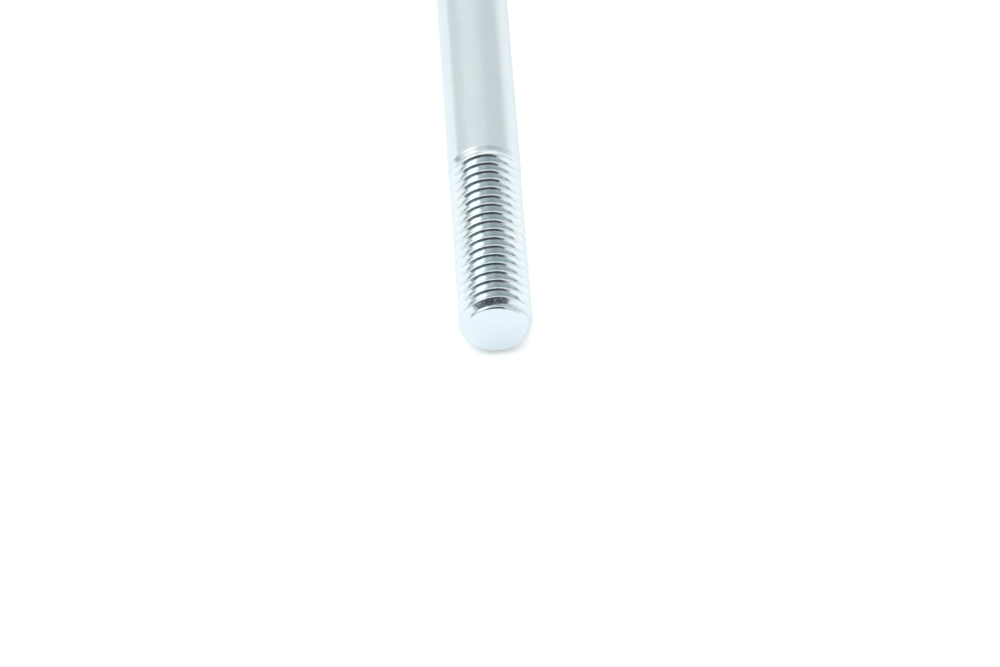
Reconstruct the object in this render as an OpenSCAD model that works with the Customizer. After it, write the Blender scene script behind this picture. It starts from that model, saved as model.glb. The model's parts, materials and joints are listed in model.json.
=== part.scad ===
// Hexagon head bolt with a plain shank and a rolled right-hand thread, one solid of plated steel.
// It lies as it comes to rest: on a flat of the head and on the crests at its point.

/* [Thread] */
// Diameter over the crests of the thread
thread_d = 7.9; // [6:0.1:10]
// Pitch, the way along the bolt in one turn of the thread
pitch = 1.25; // [1:0.05:1.5]
// Length of full thread, from the end of the point
thread_len = 22; // [14:1:40]
// Turns in which the groove runs out into the shank
runout_turns = 0.9; // [0.5:0.05:2]
// Angle round the axis at which the groove leaves the end face
start_angle = 230; // [0:5:355]
// Length and depth of the chamfer at the point
point_chamfer = 0.7; // [0.4:0.05:1]
// Straight steps in one turn of the groove
turn_steps = 36; // [24:4:44]

/* [Shank] */
// Length from the seat under the head to the end of the point
bolt_len = 80; // [60:5:120]
// Diameter of the plain shank
shank_d = 8; // [6:0.1:10]
// Radius of the fillet between the shank and the head
fillet_r = 0.4; // [0.2:0.1:0.8]

/* [Head] */
// Width of the head across its flats
head_af = 13; // [12:0.5:18]
// Height of the head, washer face included
head_h = 5.3; // [4:0.1:8]
// How far the top chamfer comes in from the flats
top_inset = 0.33; // [0.1:0.01:0.8]
// Slope of the top chamfer
top_slope = 30; // [15:1:30]
// How far the washer face stands in from the flats
washer_inset = 0.7; // [0.4:0.1:1.2]
// Thickness of the washer face
washer_h = 0.4; // [0.2:0.05:0.6]

/* [Hidden] */
$fn = 96;

// Thread form: sixty degrees between the flanks, depth and root width from the pitch
flank_angle = 30;
depth_ratio = 0.6134;
root_ratio = 1 / 6;
root_w = pitch * root_ratio;
depth = pitch * depth_ratio;
crest_r = thread_d / 2;
root_r = crest_r - depth;
// The groove's cutter stands this far out of the crests, less than its turns can meet at
proud = pitch / 20;

shank_r = shank_d / 2;
flat_r = head_af / 2;
corner_r = flat_r / cos(30);
top_r = flat_r - top_inset;
washer_r = flat_r - washer_inset;
point_r = crest_r - point_chamfer;
// How far the shank stands over the crests; a cone joins the two along the run-out
shank_rise = max(0, shank_r - crest_r);

// At rest the seat edge of a head flat and the last crest touch the ground
rest_tilt = atan((flat_r - crest_r) / (bolt_len - point_chamfer + washer_h));
rest_height = flat_r * cos(rest_tilt) - washer_h * sin(rest_tilt);
front_reach = bolt_len * cos(rest_tilt) + point_r * sin(rest_tilt);
back_reach = head_h * cos(rest_tilt) + top_r * sin(rest_tilt);

// Shank and point as turned, before the thread is rolled: along +Z from the seat
module blank() {
    rotate_extrude()
        polygon([
            [0, -head_h / 2],
            [shank_r, -head_h / 2],
            [shank_r, bolt_len - thread_len - runout_turns * pitch],
            [crest_r, bolt_len - thread_len],
            [crest_r, bolt_len - point_chamfer],
            [point_r, bolt_len],
            [0, bolt_len]
        ]);
}

// Share of the run-out that the groove has gone through after this many turns from the end face
function runout(turn) = max(0, turn - thread_len / pitch) / runout_turns;

// The groove's section at one step, turned to its place on the right-hand helix. In the run-out
// the root lifts until it is clear of the shank.
function groove_ring(turn) =
    let (
        a = start_angle - 360 * turn,
        z = bolt_len - pitch * turn,
        inner_r = root_r + runout(turn) * (depth + shank_rise + proud / 2),
        outer_r = crest_r + runout(turn) * shank_rise + proud,
        flare = (outer_r - inner_r) * tan(flank_angle),
        corners = [
            [inner_r, -root_w / 2],
            [inner_r, root_w / 2],
            [outer_r, root_w / 2 + flare],
            [outer_r, -root_w / 2 - flare]
        ]
    )
    [for (c = corners) [c[0] * cos(a), c[0] * sin(a), z + c[1]]];

// Cutter for the thread: one trapezium swept along the helix, from clear of the end face to clear
// of the shank
module groove() {
    lead_in = 0.5;
    first = -ceil(lead_in * turn_steps);
    last = ceil((thread_len / pitch + runout_turns) * turn_steps);
    n = last - first;
    polyhedron(
        points = [for (i = [first:last]) each groove_ring(i / turn_steps)],
        faces = [
            [3, 2, 1, 0],
            for (i = [0:n - 1]) for (k = [0:3])
                each let (a = 4 * i + k, b = 4 * i + (k + 1) % 4)
                    [[a, b, a + 4], [b, b + 4, a + 4]],
            [4 * n, 4 * n + 1, 4 * n + 2, 4 * n + 3]
        ]
    );
}

// Hexagon with its top corners chamfered off by a cone, flats across Y
module hexagon() {
    cone_h = (corner_r - top_r) * tan(top_slope);
    intersection() {
        translate([0, 0, -head_h])
            cylinder(r = corner_r, h = head_h - washer_h, $fn = 6);
        rotate_extrude()
            polygon([
                [0, -head_h],
                [top_r, -head_h],
                [corner_r + 1, -head_h + cone_h + tan(top_slope)],
                [corner_r + 1, 0],
                [0, 0]
            ]);
    }
}

// Round washer face that bears on the work
module washer_face() {
    translate([0, 0, -washer_h - fillet_r])
        cylinder(r = washer_r, h = washer_h + fillet_r);
}

// Fillet that carries the shank into the washer face
module neck() {
    rotate_extrude()
        difference() {
            translate([0, -fillet_r])
                square([shank_r + fillet_r, 2 * fillet_r]);
            translate([shank_r + fillet_r, fillet_r])
                circle(r = fillet_r);
        }
}

// The whole bolt, laid down with its point toward -Y
module bolt() {
    color("lightsteelblue")
        translate([0, (front_reach - back_reach) / 2, rest_height])
            rotate([90 + rest_tilt, 0, 0]) {
                difference() {
                    blank();
                    groove();
                }
                hexagon();
                washer_face();
                neck();
            }
}

bolt();
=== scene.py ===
"""Dresses a hexagon head bolt: its rolled thread, its plating, and the floor, light and camera."""

import json
import math

import bpy
import numpy as np
from mathutils import Matrix, Vector


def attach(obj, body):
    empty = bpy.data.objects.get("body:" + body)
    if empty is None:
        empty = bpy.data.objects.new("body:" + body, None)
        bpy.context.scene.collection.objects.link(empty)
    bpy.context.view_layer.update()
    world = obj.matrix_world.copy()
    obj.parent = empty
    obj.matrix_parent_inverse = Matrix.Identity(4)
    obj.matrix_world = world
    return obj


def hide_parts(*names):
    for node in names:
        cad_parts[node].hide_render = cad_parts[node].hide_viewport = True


bl_info = {
    "name": "Hexagon Head Bolt",
    "version": (1, 0, 0),
    "blender": (4, 5, 0),
    "location": "View3D > Sidebar > Bolt",
    "description": "Builds a plated hexagon head bolt with a rolled thread, its floor, light and camera",
    "category": "Mesh",
}

# The frame comes first, because the sizes start from its mounts.
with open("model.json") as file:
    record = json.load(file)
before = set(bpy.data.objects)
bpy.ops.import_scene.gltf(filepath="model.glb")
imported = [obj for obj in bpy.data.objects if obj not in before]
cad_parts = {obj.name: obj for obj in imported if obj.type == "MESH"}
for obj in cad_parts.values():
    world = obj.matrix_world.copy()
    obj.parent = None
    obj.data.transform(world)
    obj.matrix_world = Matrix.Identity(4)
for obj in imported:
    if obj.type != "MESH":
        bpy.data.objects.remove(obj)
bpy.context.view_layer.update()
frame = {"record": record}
MOUNTS = {mount["name"]: mount for mount in frame["record"]["mounts"]}
MM = 0.001

# Thread form: sixty degrees between the flanks, the rest from the pitch
FLANK_ANGLE = math.radians(30)
THREAD_DEPTH = 0.6134
ROOT_ARC = 0.144
# Turns of groove that would lie beyond the end face
LEAD_IN = 0.5
# The groove fades out softly, over somewhat more than the run-out
RUNOUT_STRETCH = 1.25

# Point: width of the rounded rim round the end face, and how far the end face is dished
RIM_WIDTH = 0.00006
END_DISH = 0.00001

# Head: slope of the top chamfer, and how the rounding of some edges compares with edge_round
TOP_SLOPE = math.radians(30)
CORNER_ROUND = 2.0
WASHER_RIM_ROUND = 0.6
WASHER_FOOT_ROUND = 0.4
# Most that a fillet takes of either side of its corner
FILLET_ROOM = 0.45

# Columns of the mesh round the bolt, the same along its whole length
COLUMNS = 108
# Places of the mesh's rows across half a pitch from a groove's centre, closer where it curves
HALF_PITCH_ROWS = (
    0, 0.035, 0.07, 0.1, 0.125, 0.16, 0.21, 0.27, 0.33, 0.38, 0.405, 0.42, 0.4325, 0.445, 0.46, 0.48
)
# Rings of the end face, as shares of its radius, and of the rim, as shares of its width
END_FACE_RINGS = (0.2, 0.4, 0.6, 0.75, 0.87, 0.95, 1.0)
RIM_RINGS = (0.04, 0.15, 0.35, 0.62, 1.0)
SHANK_RINGS = 26
# Steps round the neck's fillet and round the edges of the washer face and of the hexagon
NECK_STEPS = 6
WASHER_STEPS = 3
EDGE_STEPS = 4
# Rings across the washer face, the underside outside it, the flats, the chamfer and the top
WASHER_RINGS = 3
UNDERSIDE_RINGS = 2
FLAT_RINGS = 4
CHAMFER_RINGS = 1
TOP_RINGS = 5
# Columns on either side of a corner of the hexagon that run round its arc
CORNER_STEPS = 3
# How strongly large faces steer the smooth shading
NORMAL_WEIGHT = 60

# Numbers of the two materials on the mesh
PLATING, END_FACE = 0, 1

# Plating: where each mask starts and ends. Cut marks are measured in pitches from the tip, the
# forged head in pitches before the seat, roots and crests in shares of the thread's depth. The
# roots carry painted shade and the crests a painted highlight.
CUT_END = (1.2, 1.7)
FORGED_FADE = 0.5
ROOT_RANGE = (0.3, 0.9)
CREST_HIGHLIGHT_RANGE = (0.0, 0.12)
# Patterns, in repeats to the metre; the drawn lines are stretched along Y
CAST_PATCHES = 260.0
END_CAST_PATCHES = 420.0
WAVES = 2300.0
DRAWN_LINES = (6000.0, 90.0, 6000.0)
# Range of noise over which one cast turns into the other, and over which a cut mark rises
CAST_RANGE = (0.35, 0.65)
MARK_RANGE = (0.6, 0.85)
# Grain: pits and drift as shares of the grain's scale, and how wide and how deep the pits are
PIT_SCALE = 0.6
PIT_WIDTH = 0.45
PIT_DEPTH = 0.35
DRIFT_SCALE = 0.08
DRIFT_RANGE = (0.3, 0.7)
# How coarse the cut marks and the end face's grain are next to the plating's grain
MARK_SCALE = 0.5
END_GRAIN_SCALE = 0.7
END_GRAIN_HEIGHT = 1.5
# Roughness from the smoothest to the roughest grain, and what shank and roots add to it
PLATING_ROUGHNESS = (0.10, 0.17)
END_ROUGHNESS = (0.3, 0.42)
SHANK_ROUGHNESS = 0.09
ROOT_ROUGHNESS = 0.05

# Paper: half its width, and how its glow dims near the bolt into a painted shadow: reach and samples of
# the cover, the range of the cover over which it dims, and the least share that is left
PAPER_REACH = 3.0
COVER_DISTANCE = 0.003
COVER_SAMPLES = 8
COVER_RANGE = (0.1, 0.85)
COVER_LEAST = 0.25
# Stretch along Y over which the paper's light in the metal falls off
PAPER_NEAR_FAR = (-0.05, 0.03)

# Round screens: azimuth and elevation of the middle, then the radii of the full strength and of
# the soft edge, all in degrees. The key light hangs in the middle of its spill. The front wall is
# measured on the level only.
BACK_GLOW = (-20, 47, 4, 30)
BACK_LOW = (0, 10, 14, 32)
KEY_SPILL = (-72, 48, 17, 36)
FRONT_GLOW = (-176, 65, 5, 13)
GREY_SCREEN = (70, 50, 15, 26)
FLAG = (45, 69, 5, 17)
FRONT_WALL = (-178, 0, 27, 32)
# Bands to the right (x of the way on the level) and upward (z of the way): start and end
BACK_LEFT_RIGHT = (-0.55, 0.6)
SIDE_WALLS = (0.80, 0.95)
HORIZON_ASIDE = (-0.4, 0.5)
HORIZON_UP = (0.0, 0.30)
GAP_ASIDE = (0.93, 0.98)
GAP_UP = (0.24, 0.34)
CEILING_UP = (0.88, 0.96)
FRONT_UP = (0.74, 0.86)
FRONT_LEFT_RIGHT = (-0.35, -0.05)

# Key light: how far off it hangs and how wide it is
KEY_DISTANCE = 0.6
KEY_SIZE = 0.40

# Camera: size of the picture and focal length in pixels, width of the sensor in millimetres, the
# direction it looks from, and the point of the picture at which the middle of the end face lies
PICTURE_WIDTH, PICTURE_HEIGHT = 1000, 667
FOCAL_PIXELS = 4185.86
SENSOR_WIDTH = 36.0
CAMERA_AZIMUTH = math.radians(-3.175)
CAMERA_ELEVATION = math.radians(45.502)
TIP_AT = (495.762, 329.114)
CLIP_START = 0.01


def size(name, description, value, low, high):
    """A length, in metres."""
    return bpy.props.FloatProperty(
        name=name, description=description, default=value, min=low, max=high,
        precision=5, unit="LENGTH", subtype="DISTANCE",
    )


def share(name, description, value, high):
    """A plain number from nought up."""
    return bpy.props.FloatProperty(
        name=name, description=description, default=value, min=0.0, max=high, precision=3
    )


def colour(name, description, value):
    """A colour in linear light."""
    return bpy.props.FloatVectorProperty(
        name=name, description=description, default=value, min=0.0, max=4.0, size=3, subtype="COLOR"
    )


class BoltSizes(bpy.types.PropertyGroup):
    """Lengths of the bolt, as its model has them."""

    thread_diameter: size(
        "Thread diameter", "Across the crests", 2 * MM * MOUNTS["thread"]["dims"]["r_mm"], 0.001, 0.1
    )
    shank_diameter: size(
        "Shank diameter", "Across the plain shank", 2 * MM * MOUNTS["shank"]["dims"]["r_mm"], 0.001, 0.1
    )
    length: size("Length", "From the seat of the head to the end face", 0.080, 0.01, 1.0)
    pitch: size("Pitch", "From one crest to the next", 0.00125, 0.0002, 0.01)
    thread_length: size("Thread length", "Full thread, before the run-out", 0.022, 0.002, 1.0)
    point_chamfer: size("Point chamfer", "Chamfer at 45 degrees round the end face", 0.0007, 0.0001, 0.01)
    across_flats: size("Across flats", "Width of the hexagon", 0.013, 0.002, 0.2)
    head_height: size("Head height", "Washer face included", 0.0053, 0.001, 0.1)
    top_inset: size("Top inset", "How far the top circle lies inside the flats", 0.00033, 0.0, 0.01)
    washer_inset: size(
        "Washer face inset", "How far the washer face lies inside the flats", 0.0007, 0.0, 0.01
    )
    washer_height: size("Washer face height", "Thickness of the washer face", 0.0004, 0.0, 0.01)
    neck_fillet: size("Neck fillet", "Fillet from the shank into the washer face", 0.0004, 0.0, 0.01)
    edge_round: size("Edge rounding", "Rounding of the forged edges of the head", 0.00014, 0.00001, 0.002)
    crest_round: size("Crest rounding", "How softly a flank turns into its crest", 0.00012, 0.00001, 0.0005)
    point_round: size("Point rounding", "How softly the crests turn into the point", 0.0001, 0.00001, 0.0005)
    runout_turns: share("Run-out turns", "Turns in which the thread leaves the shank", 0.9, 5.0)
    start_angle: bpy.props.FloatProperty(
        name="Thread start", description="Where the groove meets the end face, from +X",
        default=math.radians(230), min=0.0, max=2 * math.pi, subtype="ANGLE", unit="ROTATION",
    )


class BoltFinish(bpy.types.PropertyGroup):
    """Colours and surface of the plated steel."""

    plating: colour("Plating", "Colour of the zinc plating", (0.775, 0.825, 0.845))
    plating_cool: colour("Plating, cool", "The bluish cast that drifts over it", (0.75, 0.815, 0.84))
    # painted highlight: the crests are lighter to stand in for the light they catch
    crest_highlight_colour: colour("Crests", "Painted highlight on the crests", (0.90, 0.94, 0.95))
    # painted shade: the roots are darker where shade falls deep in the grooves
    root_shade_colour: colour("Roots", "Painted shade at the bottom of the thread", (0.66, 0.72, 0.74))
    end_colour: colour("End face", "Sheared and plated end face", (0.80, 0.86, 0.90))
    end_cool: colour("End face, cool", "Cast that drifts over the end face", (0.78, 0.84, 0.90))
    grain_size: size("Grain size", "Width of the plating's grain", 0.00009, 0.00001, 0.002)
    grain_height: size("Grain height", "Height of the plating's grain", 0.0000011, 0.0, 0.0001)
    tip_grain_height: size(
        "Grain height, point", "Height of the marks left by the cut", 0.000016, 0.0, 0.0001
    )
    wave_height: size("Waviness", "Height of the rolling waves in the thread", 0.000009, 0.0, 0.0001)
    streak_height: size("Streak height", "Height of the lines drawn along the shank", 0.0000006, 0.0, 0.0001)


class StageLook(bpy.types.PropertyGroup):
    """Floor, surroundings and camera."""

    floor: colour("Floor", "Colour of the paper that the bolt lies on", (0.93, 0.93, 0.93))
    back_left: colour("Back wall, left", "Soft grey behind the bolt on its left", (0.765, 0.81, 0.815))
    back_right: colour("Back wall, right", "Soft grey behind the bolt on its right", (0.73, 0.77, 0.78))
    back_glow: colour("Back wall, glow", "Brighter patch high on the back wall", (0.84, 0.89, 0.89))
    back_low: colour("Back wall, low", "Bright foot of the back wall", (1.14, 1.18, 1.19))
    front_wall: colour("Front wall", "Dark side, where the camera stands", (0.062, 0.075, 0.082))
    front_left: colour("Front wall, left", "Lighter left end of the dark side", (0.15, 0.17, 0.177))
    front_glow: colour("Front glow", "Bright patch above the camera", (1.08, 1.14, 1.15))
    side_wall: colour("Side walls", "White screens at the sides", (0.80, 0.84, 0.86))
    side_gap: colour("Side gaps", "Dark room seen low at the sides, under the screens", (0.42, 0.44, 0.45))
    horizon: colour("Horizon", "Brighter strip where the walls meet the paper", (0.97, 1.0, 1.01))
    ceiling: colour("Ceiling", "Grey above the bolt", (0.70, 0.77, 0.79))
    grey_screen: colour("Grey screen", "Grey screen on the right", (0.57, 0.64, 0.66))
    flag: colour("Flag", "Darkest screen, high on the right", (0.46, 0.52, 0.54))
    key_spill: colour("Key spill", "Bright wall round the key light", (0.92, 0.96, 0.98))
    key_colour: colour("Key colour", "Colour of the light on the left", (0.93, 1.0, 1.0))
    key_power: share("Key light", "Power of the light on the left, in watts", 0.5, 100.0)
    floor_lift: share("Floor lift", "Light that the paper gives of itself to the camera", 0.56, 2.0)
    floor_mirrored: share("Floor in mirrors", "Light that paper in front gives to the metal", 0.38, 2.0)
    floor_mirrored_far: share("Far floor in mirrors", "Light that paper behind gives to the metal", 0.29, 2.0)
    camera_distance: size("Camera distance", "From the end face to the camera", 0.441635, 0.05, 10.0)


# Shape of the bolt --------------------------------------------------------------------------


def soft_min(a, b, reach):
    """The smaller of two heights, with the corner where they cross rounded off."""
    overlap = np.maximum(reach - np.abs(a - b), 0.0)
    return np.minimum(a, b) - overlap**2 / (4 * reach)


def ease(share_done):
    """Turns a share from nought to one into one with a soft start and end."""
    return share_done * share_done * (3 - 2 * share_done)


def blank_radius(s, sizes):
    """Radius of the turned blank at distance s from the end face."""
    crest = sizes.thread_diameter / 2
    shank = sizes.shank_diameter / 2
    runout = sizes.runout_turns * sizes.pitch
    risen = np.clip((s - sizes.thread_length) / runout, 0.0, 1.0)
    body = crest + (shank - crest) * ease(risen)
    return soft_min(body, crest - sizes.point_chamfer + s, sizes.point_round)


def thread_radius(s, angle, sizes):
    """Radius of the finished thread at distance s, and how far it lies below the blank's surface."""
    blank = blank_radius(s, sizes)
    root = sizes.thread_diameter / 2 - THREAD_DEPTH * sizes.pitch
    arc = ROOT_ARC * sizes.pitch
    full_turns = sizes.thread_length / sizes.pitch
    lead = (sizes.start_angle - angle) / (2 * math.pi)
    nearest = np.round(s / sizes.pitch - lead)
    depth = np.zeros(np.shape(s))
    for step in (-1, 0, 1):
        turn = lead + nearest + step
        aside = np.abs(s - turn * sizes.pitch)
        bottom = root + arc - np.sqrt(np.maximum(arc**2 - aside**2, 0.0))
        flank = root - arc + aside / math.tan(FLANK_ANGLE)
        surface = np.where(aside < arc * math.cos(FLANK_ANGLE), bottom, flank)
        left = np.clip((turn - full_turns) / (RUNOUT_STRETCH * sizes.runout_turns), 0.0, 1.0)
        fade = np.where(turn >= -LEAD_IN, 1 - ease(left), 0.0)
        depth = np.maximum(depth, fade * (blank - soft_min(blank, surface, sizes.crest_round)))
    return blank - depth, depth


def hexagon_outline(sizes):
    """Corner-rounded hexagon as one point for each column, flats across Y."""
    per_side = COLUMNS // 6
    flat = sizes.across_flats / 2
    corner = CORNER_ROUND * sizes.edge_round
    half_side = math.pi / 6
    reach = flat / math.cos(half_side)
    points = []
    for side in range(6):
        for step in range(per_side):
            # a corner lies at step 0, and the steps next to it run round its arc
            turn = step if step <= per_side // 2 else step - per_side
            heading = side + (0 if turn >= 0 else 1)
            middle = Vector((math.cos(heading * math.pi / 3), math.sin(heading * math.pi / 3)))
            centre = middle * (reach - corner / math.cos(half_side))
            if abs(turn) <= CORNER_STEPS:
                swing = heading * math.pi / 3 + half_side * turn / CORNER_STEPS
                points.append(centre + corner * Vector((math.cos(swing), math.sin(swing))))
            else:
                points.append(None)
    # the rest of each side is shared out evenly between its two arcs
    for side in range(6):
        first = side * per_side + CORNER_STEPS
        last = (side + 1) * per_side - CORNER_STEPS
        start, end = points[first], points[last % COLUMNS]
        for index in range(first + 1, last):
            points[index] = start.lerp(end, (index - first) / (last - first))
    return np.array([tuple(p) for p in points])


def fillet(before, corner, after, radius, steps):
    """Points of an arc that rounds the corner between two straight runs, for each column."""
    into = before - corner
    out = after - corner
    room = np.minimum(np.linalg.norm(into, axis=1), np.linalg.norm(out, axis=1)) * FILLET_ROOM
    into /= np.linalg.norm(into, axis=1)[:, None]
    out /= np.linalg.norm(out, axis=1)[:, None]
    half = np.arccos(np.clip((into * out).sum(1), -1, 1)) / 2
    radius = np.minimum(radius, room * np.tan(half))
    bisector = into + out
    bisector /= np.linalg.norm(bisector, axis=1)[:, None]
    centre = corner + bisector * (radius / np.sin(half))[:, None]
    first = corner + into * (radius / np.tan(half))[:, None] - centre
    last = corner + out * (radius / np.tan(half))[:, None] - centre
    sweep = math.pi - 2 * half
    rings = []
    for step in range(steps + 1):
        t = step / steps
        a = (np.sin((1 - t) * sweep) / np.sin(sweep))[:, None]
        b = (np.sin(t * sweep) / np.sin(sweep))[:, None]
        rings.append(centre + a * first + b * last)
    return rings


def between(first, last, count):
    """Rings spread evenly between two rings, without either."""
    return [first + (last - first) * (i + 1) / (count + 1) for i in range(count)]


def ring(radius, z, unit):
    """A ring of points at one radius and height, along the given unit directions."""
    radius = np.broadcast_to(radius, (COLUMNS,))
    z = np.broadcast_to(z, (COLUMNS,))
    return np.column_stack([unit[:, 0] * radius, unit[:, 1] * radius, z])


def level_ring(outline, z):
    """A ring of points that follows an outline in plan, at the given heights."""
    return np.column_stack([outline, np.broadcast_to(z, (COLUMNS,))])


def head_rings(sizes, unit):
    """Rings from the end of the shank over the neck, washer face, hexagon and chamfer to the top."""
    shank = sizes.shank_diameter / 2
    flat = sizes.across_flats / 2
    washer = flat - sizes.washer_inset
    top = flat - sizes.top_inset
    edge = sizes.edge_round
    outline = hexagon_outline(sizes)
    reach = np.linalg.norm(outline, axis=1)
    heading = outline / reach[:, None]
    side_top = -sizes.head_height + (reach - top) * math.tan(TOP_SLOPE)

    rings = []
    for step in range(NECK_STEPS + 1):
        swing = math.radians(90) * step / NECK_STEPS
        outward = sizes.neck_fillet * (1 - math.cos(swing))
        above = sizes.neck_fillet * (1 - math.sin(swing))
        rings.append(ring(shank + outward, above, unit))
    neck = rings[-1]
    washer_rim = ring(washer, 0.0, unit)
    washer_foot = ring(washer, -sizes.washer_height, unit)
    under_edge = level_ring(outline, -sizes.washer_height)
    side_edge = level_ring(outline, side_top)
    top_edge = ring(top, -sizes.head_height, heading)
    middle = ring(0.0, -sizes.head_height, heading)

    rings += between(neck, washer_rim, WASHER_RINGS)
    rings += fillet(neck, washer_rim, washer_foot, WASHER_RIM_ROUND * edge, WASHER_STEPS)
    rings += fillet(washer_rim, washer_foot, under_edge, WASHER_FOOT_ROUND * edge, WASHER_STEPS)
    rings += between(washer_foot, under_edge, UNDERSIDE_RINGS)
    rings += fillet(washer_foot, under_edge, side_edge, edge, EDGE_STEPS)
    rings += between(under_edge, side_edge, FLAT_RINGS)
    rings += fillet(under_edge, side_edge, top_edge, edge, EDGE_STEPS)
    rings += between(side_edge, top_edge, CHAMFER_RINGS)
    rings += fillet(side_edge, top_edge, middle, edge, EDGE_STEPS)
    rings += between(top_edge, middle, TOP_RINGS)
    return rings


class RingMesh:
    """Collects the vertices and faces of one closed skin."""

    def __init__(self):
        self.points = []
        self.depth = []
        self.faces = []
        self.materials = []
        self.count = 0

    def add(self, points, depth=0.0):
        """Adds vertices, such as a ring, and returns their numbers."""
        first = self.count
        self.points.append(points)
        self.depth.append(np.broadcast_to(depth, (len(points),)))
        self.count += len(points)
        return np.arange(first, self.count)

    def face(self, corners, material):
        """Adds a face, without the corners that fall together."""
        kept = [c for i, c in enumerate(corners) if c != corners[i - 1]]
        if len(kept) > 2:
            self.faces.append(kept)
            self.materials.append(material)

    def join(self, near, far, material=PLATING):
        """Joins two rings; far is nearer the head."""
        for j in range(COLUMNS):
            k = (j + 1) % COLUMNS
            self.face([near[j], far[j], far[k], near[k]], material)

    def close(self, edge, middle, outward, material=PLATING):
        """Closes a ring with a fan; outward says that the face looks toward the tip."""
        for j in range(COLUMNS):
            k = (j + 1) % COLUMNS
            corners = [edge[j], edge[k], middle]
            self.face(corners if outward else corners[::-1], material)


def thread_grid(skin, sizes, angles, unit, near, far, s_near, s_far):
    """Fills the skin between two straight rings with rows that follow the thread's helix."""
    across = list(HALF_PITCH_ROWS)
    across += [1 - p for p in reversed(across[1:])]
    rows = len(across)
    # two turns to spare at either end, because a row climbs one pitch round the bolt
    turns = range(math.floor(s_near / sizes.pitch) - 2, math.ceil(s_far / sizes.pitch) + 2)
    lead = (sizes.start_angle - angles) / (2 * math.pi)
    s = np.array([[sizes.pitch * (lead + k + p)] for k in turns for p in across])[:, 0, :]
    free = (s > s_near) & (s < s_far)
    radius, depth = thread_radius(s, angles[None, :], sizes)
    place = np.stack(
        [unit[None, :, 0] * radius, unit[None, :, 1] * radius, sizes.length - s], axis=2
    )
    number = np.where(s <= s_near, near[None, :], far[None, :])
    number[free] = skin.add(place[free], depth[free])
    for i in range(rows, len(s) - 1):
        for j in range(COLUMNS):
            if j < COLUMNS - 1:
                right, right_below = number[i, j + 1], number[i + 1, j + 1]
            else:
                right, right_below = number[i - rows, 0], number[i + 1 - rows, 0]
            corners = [number[i, j], number[i + 1, j], right_below, right]
            if len(set(corners)) > 2:
                skin.face(corners, PLATING)


def bolt_skin(sizes):
    """The whole bolt as one closed skin along +Z, its seat at nought."""
    angles = 2 * math.pi * np.arange(COLUMNS) / COLUMNS
    unit = np.column_stack([np.cos(angles), np.sin(angles)])
    skin = RingMesh()
    rim_inset = RIM_WIDTH / 2

    # end face, slightly dished, and its rounded rim
    edge_radius, _ = thread_radius(np.zeros(COLUMNS), angles, sizes)
    edge_radius = edge_radius - rim_inset
    middle = skin.add(np.array([(0.0, 0.0, sizes.length - END_DISH)]))[0]
    last = None
    for part in END_FACE_RINGS:
        z = sizes.length - END_DISH * (1 - part**2)
        here = skin.add(ring(edge_radius * part, z, unit))
        if last is None:
            skin.close(here, middle, True, END_FACE)
        else:
            skin.join(last, here, END_FACE)
        last = here
    for part in RIM_RINGS:
        s = RIM_WIDTH * part
        radius, depth = thread_radius(np.full(COLUMNS, s), angles, sizes)
        radius = radius - rim_inset * (1 - math.sqrt(part)) ** 2
        here = skin.add(ring(radius, sizes.length - s, unit), depth)
        skin.join(last, here)
        last = here

    # thread, then the plain shank
    s_far = sizes.thread_length + (RUNOUT_STRETCH * sizes.runout_turns + 0.5) * sizes.pitch
    radius, _ = thread_radius(np.full(COLUMNS, s_far), angles, sizes)
    start = ring(radius, sizes.length - s_far, unit)
    shank_end = skin.add(start)
    thread_grid(skin, sizes, angles, unit, last, shank_end, RIM_WIDTH, s_far)
    last = shank_end
    head = head_rings(sizes, unit)
    for points in between(start, head[0], SHANK_RINGS) + head:
        here = skin.add(points)
        skin.join(last, here)
        last = here
    middle = skin.add(np.array([(0.0, 0.0, -sizes.head_height)]))[0]
    skin.close(last, middle, False)
    return skin


def resting_place(sizes):
    """Matrix that lays the bolt down as its model lies, from the shank's mount."""
    mount = MOUNTS["shank"]
    along = Vector(mount["axis"]).normalized()
    up = Vector((0, 0, 1)) - along * along.z
    up.normalize()
    plain = mount["dims"]["length_mm"] * MM
    seat = Vector(mount["pos_m"]) - along * (sizes.neck_fillet + plain / 2)
    turned = Matrix((up.cross(along), up, along)).transposed()
    return Matrix.Translation(seat) @ turned.to_4x4()


def make_bolt(sizes):
    """The bolt as one mesh object, in its place."""
    skin = bolt_skin(sizes)
    points = np.concatenate(skin.points)
    mesh = bpy.data.meshes.new("zinc_plated_bolt")
    mesh.from_pydata(points.tolist(), [], skin.faces)
    mesh.attributes.new("thread_depth", "FLOAT", "POINT").data.foreach_set(
        "value", np.concatenate(skin.depth) / (THREAD_DEPTH * sizes.pitch)
    )
    mesh.attributes.new("pitches_from_tip", "FLOAT", "POINT").data.foreach_set(
        "value", (sizes.length - points[:, 2]) / sizes.pitch
    )
    mesh.polygons.foreach_set("material_index", skin.materials)
    mesh.transform(resting_place(sizes))
    mesh.validate()
    mesh.shade_smooth()
    piece = bpy.data.objects.new("zinc_plated_bolt", mesh)
    bpy.context.scene.collection.objects.link(piece)
    weighted = piece.modifiers.new("Weighted Normal", "WEIGHTED_NORMAL")
    weighted.weight = NORMAL_WEIGHT
    return piece


# Node helpers ---------------------------------------------------------------------------------


def add_node(tree, kind, values=None, **settings):
    """Adds a node with its settings, and with values for its inputs by name or number."""
    node = tree.nodes.new(kind)
    for key, value in settings.items():
        setattr(node, key, value)
    for key, value in (values or {}).items():
        if isinstance(value, bpy.types.NodeSocket):
            tree.links.new(value, node.inputs[key])
        else:
            node.inputs[key].default_value = value
    return node


def math_node(tree, operation, *values):
    """Adds a Math node and returns its output."""
    return add_node(
        tree, "ShaderNodeMath", dict(enumerate(values)), operation=operation
    ).outputs[0]


def mix_colour(tree, factor, first, second):
    """Adds a colour Mix node and returns its output."""
    return add_node(
        tree, "ShaderNodeMix", {0: factor, 6: first, 7: second}, data_type="RGBA"
    ).outputs[2]


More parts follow.
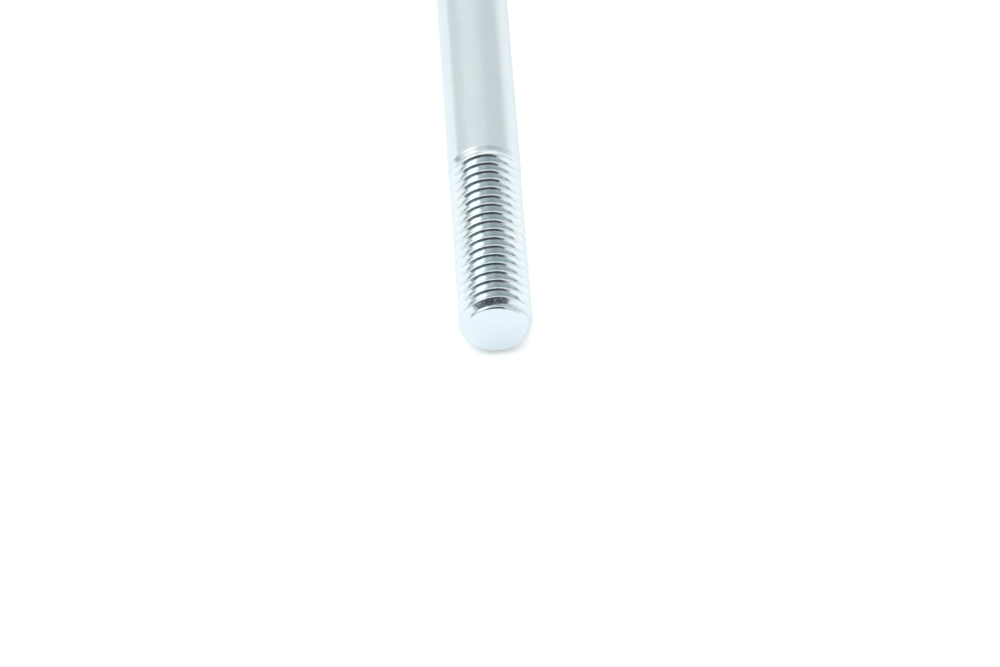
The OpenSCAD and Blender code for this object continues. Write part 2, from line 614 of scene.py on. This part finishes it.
def ramp(tree, value, low, high, to_low=0.0, to_high=1.0):
    """Eases a value from one range into another and returns the output."""
    return add_node(
        tree, "ShaderNodeMapRange",
        {"Value": value, "From Min": low, "From Max": high, "To Min": to_low, "To Max": to_high},
        interpolation_type="SMOOTHSTEP",
    ).outputs[0]


def new_group(name, inputs, outputs):
    """An empty shader node group with its sockets, its input node and its output node."""
    group = bpy.data.node_groups.new(name, "ShaderNodeTree")
    for label, kind, value in inputs:
        socket = group.interface.new_socket(label, in_out="INPUT", socket_type=kind)
        if value is not None:
            socket.default_value = value
    for label, kind in outputs:
        group.interface.new_socket(label, in_out="OUTPUT", socket_type=kind)
    return group, group.nodes.new("NodeGroupInput"), group.nodes.new("NodeGroupOutput")


def use_group(tree, group, values):
    """Places a node group in a tree with its own values."""
    return add_node(tree, "ShaderNodeGroup", values, node_tree=group)


def rgba(values):
    """The colour with full opacity, as a colour socket takes it."""
    return (*values, 1.0)


# Effects that both finishes use ----------------------------------------------------------------


def plating_cast_group():
    """Colour that drifts softly between two tones of the plating."""
    group, given, result = new_group(
        "Plating Cast",
        [
            ("Vector", "NodeSocketVector", None),
            ("Main", "NodeSocketColor", (0.8, 0.8, 0.8, 1)),
            ("Cast", "NodeSocketColor", (0.7, 0.7, 0.7, 1)),
            ("Patch Scale", "NodeSocketFloat", 250.0),
        ],
        [("Color", "NodeSocketColor")],
    )
    patches = add_node(
        group, "ShaderNodeTexNoise",
        {"Vector": given.outputs["Vector"], "Scale": given.outputs["Patch Scale"], "Detail": 3.0},
    )
    amount = ramp(group, patches.outputs[0], *CAST_RANGE)
    colour_out = mix_colour(group, amount, given.outputs["Main"], given.outputs["Cast"])
    group.links.new(colour_out, result.inputs["Color"])
    return group


def plating_grain_group():
    """Fine crystalline grain: its height, and a slow drift for the roughness."""
    group, given, result = new_group(
        "Plating Grain",
        [
            ("Vector", "NodeSocketVector", None),
            ("Grain Scale", "NodeSocketFloat", 9000.0),
            ("Roughness Low", "NodeSocketFloat", 0.15),
            ("Roughness High", "NodeSocketFloat", 0.3),
        ],
        [("Height", "NodeSocketFloat"), ("Roughness", "NodeSocketFloat")],
    )
    fine = add_node(
        group, "ShaderNodeTexNoise",
        {"Vector": given.outputs["Vector"], "Scale": given.outputs["Grain Scale"], "Detail": 4.0},
    )
    pits = add_node(
        group, "ShaderNodeTexVoronoi",
        {
            "Vector": given.outputs["Vector"],
            "Scale": math_node(group, "MULTIPLY", given.outputs["Grain Scale"], PIT_SCALE),
        },
    )
    dimple = ramp(group, pits.outputs["Distance"], 0.0, PIT_WIDTH)
    height = math_node(group, "MULTIPLY_ADD", dimple, PIT_DEPTH, fine.outputs[0])
    drift = add_node(
        group, "ShaderNodeTexNoise",
        {
            "Vector": given.outputs["Vector"],
            "Scale": math_node(group, "MULTIPLY", given.outputs["Grain Scale"], DRIFT_SCALE),
            "Detail": 5.0,
        },
    )
    low, high = given.outputs["Roughness Low"], given.outputs["Roughness High"]
    spread = math_node(group, "SUBTRACT", high, low)
    drifted = ramp(group, drift.outputs[0], *DRIFT_RANGE)
    rough = math_node(group, "MULTIPLY_ADD", drifted, spread, low)
    group.links.new(height, result.inputs["Height"])
    group.links.new(rough, result.inputs["Roughness"])
    return group


def zinc_plate(finish, sizes, groups):
    """Bright bluish zinc over rolled and drawn steel."""
    material = bpy.data.materials.new("zinc_plate")
    material.use_nodes = True
    tree = material.node_tree
    shader = tree.nodes["Principled BSDF"]
    place = add_node(tree, "ShaderNodeTexCoord").outputs["Object"]
    depth = add_node(tree, "ShaderNodeAttribute", attribute_name="thread_depth").outputs["Fac"]
    along = add_node(tree, "ShaderNodeAttribute", attribute_name="pitches_from_tip").outputs["Fac"]
    turns = sizes.thread_length / sizes.pitch
    threaded = ramp(tree, along, turns, turns + sizes.runout_turns, 1.0, 0.0)
    cut = ramp(tree, along, *CUT_END, 1.0, 0.0)
    plain = math_node(tree, "SUBTRACT", 1.0, threaded)
    seat = sizes.length / sizes.pitch
    forged = ramp(tree, along, seat - FORGED_FADE, seat)
    root = ramp(tree, depth, *ROOT_RANGE)
    crest = math_node(tree, "MULTIPLY", ramp(tree, depth, *CREST_HIGHLIGHT_RANGE, 1.0, 0.0), threaded)
    crest = math_node(tree, "MULTIPLY", crest, math_node(tree, "SUBTRACT", 1.0, cut))

    cast = use_group(
        tree, groups["cast"],
        {
            "Vector": place, "Main": rgba(finish.plating), "Cast": rgba(finish.plating_cool),
            "Patch Scale": CAST_PATCHES,
        },
    )
    # painted shade darkens the thread's roots
    ground = mix_colour(tree, root, cast.outputs["Color"], rgba(finish.root_shade_colour))
    # a painted highlight lightens the thread's crests
    ground = mix_colour(tree, crest, ground, rgba(finish.crest_highlight_colour))

    grain = use_group(
        tree, groups["grain"],
        {
            "Vector": place, "Grain Scale": 1 / finish.grain_size,
            "Roughness Low": PLATING_ROUGHNESS[0], "Roughness High": PLATING_ROUGHNESS[1],
        },
    )
    rough = math_node(tree, "MULTIPLY_ADD", plain, SHANK_ROUGHNESS, grain.outputs["Roughness"])
    rough = math_node(tree, "MULTIPLY_ADD", root, ROOT_ROUGHNESS, rough)
    drawn = add_node(tree, "ShaderNodeMapping", {"Vector": place, "Scale": DRAWN_LINES})
    streaks = add_node(
        tree, "ShaderNodeTexNoise", {"Vector": drawn.outputs[0], "Scale": 1.0, "Detail": 3.0}
    )
    streak = math_node(
        tree, "MULTIPLY", streaks.outputs[0], math_node(tree, "SUBTRACT", plain, forged)
    )
    lines = add_node(
        tree, "ShaderNodeBump", {"Strength": 1.0, "Distance": finish.streak_height, "Height": streak}
    )
    wave = add_node(
        tree, "ShaderNodeTexNoise", {"Vector": place, "Scale": WAVES, "Detail": 1.0}
    ).outputs[0]
    waves = add_node(
        tree, "ShaderNodeBump",
        {
            "Strength": 1.0, "Distance": finish.wave_height,
            "Height": math_node(tree, "MULTIPLY", wave, math_node(tree, "ADD", threaded, forged)),
            "Normal": lines.outputs[0],
        },
    )
    mark = add_node(
        tree, "ShaderNodeTexNoise",
        {"Vector": place, "Scale": MARK_SCALE / finish.grain_size, "Detail": 2.0, "Roughness": 0.6},
    ).outputs[0]
    mark = ramp(tree, mark, *MARK_RANGE)
    marks = add_node(
        tree, "ShaderNodeBump",
        {
            "Strength": 1.0, "Distance": finish.tip_grain_height,
            "Height": math_node(tree, "MULTIPLY", mark, cut), "Normal": waves.outputs[0],
        },
    )
    bump = add_node(
        tree, "ShaderNodeBump",
        {
            "Strength": 1.0, "Distance": finish.grain_height,
            "Height": grain.outputs["Height"], "Normal": marks.outputs[0],
        },
    )
    tree.links.new(ground, shader.inputs["Base Color"])
    tree.links.new(rough, shader.inputs["Roughness"])
    tree.links.new(bump.outputs[0], shader.inputs["Normal"])
    shader.inputs["Metallic"].default_value = 1.0
    return material


def sheared_end(finish, groups):
    """Satin end face, where the blank was cut off before it was plated."""
    material = bpy.data.materials.new("sheared_end")
    material.use_nodes = True
    tree = material.node_tree
    shader = tree.nodes["Principled BSDF"]
    place = add_node(tree, "ShaderNodeTexCoord").outputs["Object"]
    cast = use_group(
        tree, groups["cast"],
        {
            "Vector": place, "Main": rgba(finish.end_colour), "Cast": rgba(finish.end_cool),
            "Patch Scale": END_CAST_PATCHES,
        },
    )
    grain = use_group(
        tree, groups["grain"],
        {
            "Vector": place, "Grain Scale": END_GRAIN_SCALE / finish.grain_size,
            "Roughness Low": END_ROUGHNESS[0], "Roughness High": END_ROUGHNESS[1],
        },
    )
    bump = add_node(
        tree, "ShaderNodeBump",
        {
            "Strength": 1.0, "Distance": END_GRAIN_HEIGHT * finish.grain_height,
            "Height": grain.outputs["Height"],
        },
    )
    tree.links.new(cast.outputs["Color"], shader.inputs["Base Color"])
    tree.links.new(grain.outputs["Roughness"], shader.inputs["Roughness"])
    tree.links.new(bump.outputs[0], shader.inputs["Normal"])
    shader.inputs["Metallic"].default_value = 1.0
    return material


# Stage ------------------------------------------------------------------------------------------


def kinds_of_ray(tree):
    """Whether a ray is the camera's own, and whether it is mirrored or refracted, as 0 or 1."""
    path = add_node(tree, "ShaderNodeLightPath")
    mirrored = math_node(
        tree, "MAXIMUM", path.outputs["Is Glossy Ray"], path.outputs["Is Transmission Ray"]
    )
    return path.outputs["Is Camera Ray"], mirrored


def make_floor(look):
    """White paper under the bolt, which keeps its shadow, with a painted shadow added where the bolt lies
    close over it.
    """
    mesh = bpy.data.meshes.new("floor")
    corners = [(-1, -1), (1, -1), (1, 1), (-1, 1)]
    mesh.from_pydata(
        [(PAPER_REACH * x, PAPER_REACH * y, 0) for x, y in corners], [], [(0, 1, 2, 3)]
    )
    floor = bpy.data.objects.new("floor", mesh)
    bpy.context.scene.collection.objects.link(floor)
    material = bpy.data.materials.new("white_paper")
    material.use_nodes = True
    tree = material.node_tree
    tree.nodes.clear()
    camera, mirrored = kinds_of_ray(tree)
    paper = add_node(tree, "ShaderNodeBsdfDiffuse", {"Color": rgba(look.floor)})
    # painted shadow: the paper gives less light of its own where the bolt lies close over it
    cover = add_node(
        tree, "ShaderNodeAmbientOcclusion", {"Distance": COVER_DISTANCE}, samples=COVER_SAMPLES
    )
    dimmed = ramp(tree, cover.outputs["AO"], *COVER_RANGE, COVER_LEAST, 1.0)
    lift = math_node(tree, "MULTIPLY", camera, look.floor_lift)
    lift = math_node(tree, "MULTIPLY", lift, dimmed)
    place = add_node(tree, "ShaderNodeTexCoord").outputs["Object"]
    depth = add_node(tree, "ShaderNodeSeparateXYZ", {0: place}).outputs["Y"]
    shine = ramp(tree, depth, *PAPER_NEAR_FAR, look.floor_mirrored, look.floor_mirrored_far)
    lift = math_node(tree, "MULTIPLY_ADD", mirrored, shine, lift)
    glow = add_node(tree, "ShaderNodeEmission", {"Color": (1, 1, 1, 1), "Strength": lift})
    both = add_node(tree, "ShaderNodeAddShader", {0: paper.outputs[0], 1: glow.outputs[0]})
    add_node(tree, "ShaderNodeOutputMaterial", {"Surface": both.outputs[0]})
    mesh.materials.append(material)


def toward(azimuth, elevation):
    """Direction at an azimuth from +Y toward +X and an elevation, both in degrees."""
    across, rise = math.radians(azimuth), math.radians(elevation)
    return Vector(
        (math.sin(across) * math.cos(rise), math.cos(across) * math.cos(rise), math.sin(rise))
    )


def make_world(look):
    """Walls round the bolt by direction, as a tent of screens."""
    world = bpy.data.worlds.new("paper_tent")
    bpy.context.scene.world = world
    world.use_nodes = True
    tree = world.node_tree
    tree.nodes.clear()
    camera, _ = kinds_of_ray(tree)
    way = add_node(tree, "ShaderNodeTexCoord").outputs["Generated"]
    x, y, z = add_node(tree, "ShaderNodeSeparateXYZ", {0: way}).outputs
    level = add_node(
        tree, "ShaderNodeVectorMath",
        {0: add_node(tree, "ShaderNodeCombineXYZ", {0: x, 1: y}).outputs[0]}, operation="NORMALIZE",
    ).outputs[0]
    level_x = add_node(tree, "ShaderNodeSeparateXYZ", {0: level}).outputs[0]

    from_middle = math_node(tree, "ABSOLUTE", level_x)

    def near(screen, vector):
        """One within a round screen, falling to nought at its soft edge."""
        azimuth, elevation, inner, outer = screen
        facing = add_node(
            tree, "ShaderNodeVectorMath", {0: vector, 1: toward(azimuth, elevation)},
            operation="DOT_PRODUCT",
        ).outputs["Value"]
        return ramp(tree, facing, math.cos(math.radians(outer)), math.cos(math.radians(inner)))

    def hang(walls, amount, tint):
        """Covers the walls with a colour where the amount is one."""
        return mix_colour(tree, amount, walls, rgba(tint))

    walls = rgba(look.back_left)
    walls = hang(walls, ramp(tree, level_x, *BACK_LEFT_RIGHT), look.back_right)
    walls = hang(walls, near(BACK_GLOW, way), look.back_glow)
    walls = hang(walls, near(BACK_LOW, way), look.back_low)
    walls = hang(walls, ramp(tree, from_middle, *SIDE_WALLS), look.side_wall)
    low = ramp(tree, z, *HORIZON_UP, 1.0, 0.0)
    low = math_node(tree, "MULTIPLY", low, ramp(tree, level_x, *HORIZON_ASIDE))
    walls = hang(walls, low, look.horizon)
    gap = ramp(tree, from_middle, *GAP_ASIDE)
    gap = math_node(tree, "MULTIPLY", gap, ramp(tree, z, *GAP_UP, 1.0, 0.0))
    walls = hang(walls, gap, look.side_gap)
    walls = hang(walls, near(KEY_SPILL, way), look.key_spill)
    walls = hang(walls, ramp(tree, z, *CEILING_UP), look.ceiling)
    walls = hang(walls, near(FRONT_GLOW, way), look.front_glow)
    walls = hang(walls, near(GREY_SCREEN, way), look.grey_screen)
    walls = hang(walls, near(FLAG, way), look.flag)
    front = near(FRONT_WALL, level)
    front = math_node(tree, "MULTIPLY", front, ramp(tree, z, *FRONT_UP, 1.0, 0.0))
    rightward = ramp(tree, level_x, *FRONT_LEFT_RIGHT)
    dark = mix_colour(tree, rightward, rgba(look.front_left), rgba(look.front_wall))
    walls = mix_colour(tree, front, walls, dark)
    shown = mix_colour(tree, camera, walls, (1, 1, 1, 1))
    background = add_node(tree, "ShaderNodeBackground", {"Color": shown, "Strength": 1.0})
    add_node(tree, "ShaderNodeOutputWorld", {"Surface": background.outputs[0]})


def make_key_light(look):
    """Large soft light on the left."""
    lamp = bpy.data.lights.new("key_light", "AREA")
    lamp.shape = "DISK"
    lamp.size = KEY_SIZE
    lamp.energy = look.key_power
    lamp.color = look.key_colour
    key = bpy.data.objects.new("key_light", lamp)
    key.location = KEY_DISTANCE * toward(*KEY_SPILL[:2])
    key.rotation_euler = (-key.location).to_track_quat("-Z", "Y").to_euler()
    bpy.context.scene.collection.objects.link(key)


def make_camera(look, sizes):
    """Camera in front of the point, looking down on it along the bolt."""
    back = Vector(
        (
            math.sin(CAMERA_AZIMUTH) * math.cos(CAMERA_ELEVATION),
            -math.cos(CAMERA_AZIMUTH) * math.cos(CAMERA_ELEVATION),
            math.sin(CAMERA_ELEVATION),
        )
    )
    right = (-back).cross(Vector((0, 0, 1))).normalized()
    up = right.cross(-back)
    aside = (TIP_AT[0] - (PICTURE_WIDTH - 1) / 2) / FOCAL_PIXELS * look.camera_distance
    above = ((PICTURE_HEIGHT - 1) / 2 - TIP_AT[1]) / FOCAL_PIXELS * look.camera_distance
    tip = resting_place(sizes) @ Vector((0, 0, sizes.length))
    camera_data = bpy.data.cameras.new("camera")
    camera_data.sensor_width = SENSOR_WIDTH
    camera_data.lens = FOCAL_PIXELS / PICTURE_WIDTH * SENSOR_WIDTH
    camera_data.clip_start = CLIP_START
    camera = bpy.data.objects.new("camera", camera_data)
    place = tip + back * look.camera_distance - right * aside - up * above
    camera.matrix_world = Matrix.Translation(place) @ Matrix((right, up, back)).transposed().to_4x4()
    bpy.context.scene.collection.objects.link(camera)
    bpy.context.scene.camera = camera


# Operators and panel ------------------------------------------------------------------------------


class BOLT_OT_build_bolt(bpy.types.Operator):
    """Builds the threaded and plated bolt over its model"""

    bl_idname = "bolt.build_bolt"
    bl_label = "Build Bolt"

    def execute(self, context):
        scene = context.scene
        piece = make_bolt(scene.bolt_sizes)
        groups = {"cast": plating_cast_group(), "grain": plating_grain_group()}
        piece.data.materials.append(zinc_plate(scene.bolt_finish, scene.bolt_sizes, groups))
        piece.data.materials.append(sheared_end(scene.bolt_finish, groups))
        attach(piece, "root")
        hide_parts("bolt")
        return {"FINISHED"}


class BOLT_OT_build_stage(bpy.types.Operator):
    """Builds the floor, the surroundings, the light and the camera"""

    bl_idname = "bolt.build_stage"
    bl_label = "Build Stage"

    def execute(self, context):
        scene = context.scene
        scene.view_settings.view_transform = "Standard"
        make_floor(scene.bolt_stage)
        make_world(scene.bolt_stage)
        make_key_light(scene.bolt_stage)
        make_camera(scene.bolt_stage, scene.bolt_sizes)
        return {"FINISHED"}


class BOLT_PT_sidebar(bpy.types.Panel):
    """Lists the steps that build the bolt and its stage"""

    bl_idname = "BOLT_PT_sidebar"
    bl_label = "Hexagon Head Bolt"
    bl_space_type = "VIEW_3D"
    bl_region_type = "UI"
    bl_category = "Bolt"

    def draw(self, context):
        layout = self.layout
        for group in (context.scene.bolt_sizes, context.scene.bolt_finish, context.scene.bolt_stage):
            box = layout.box()
            for name in group.__annotations__:
                box.prop(group, name)
        layout.operator(BOLT_OT_build_bolt.bl_idname)
        layout.operator(BOLT_OT_build_stage.bl_idname)


CLASSES = (BoltSizes, BoltFinish, StageLook, BOLT_OT_build_bolt, BOLT_OT_build_stage, BOLT_PT_sidebar)


def register():
    """Registers the classes and hangs their values on the scene."""
    for cls in CLASSES:
        bpy.utils.register_class(cls)
    bpy.types.Scene.bolt_sizes = bpy.props.PointerProperty(type=BoltSizes)
    bpy.types.Scene.bolt_finish = bpy.props.PointerProperty(type=BoltFinish)
    bpy.types.Scene.bolt_stage = bpy.props.PointerProperty(type=StageLook)


def unregister():
    """Takes the values and the classes away again."""
    del bpy.types.Scene.bolt_stage
    del bpy.types.Scene.bolt_finish
    del bpy.types.Scene.bolt_sizes
    for cls in reversed(CLASSES):
        bpy.utils.unregister_class(cls)


def main():
    """Registers the classes and builds everything in order."""
    register()
    bpy.ops.bolt.build_stage()
    bpy.ops.bolt.build_bolt()
    bpy.context.view_layer.update()


if __name__ == "__main__":
    main()
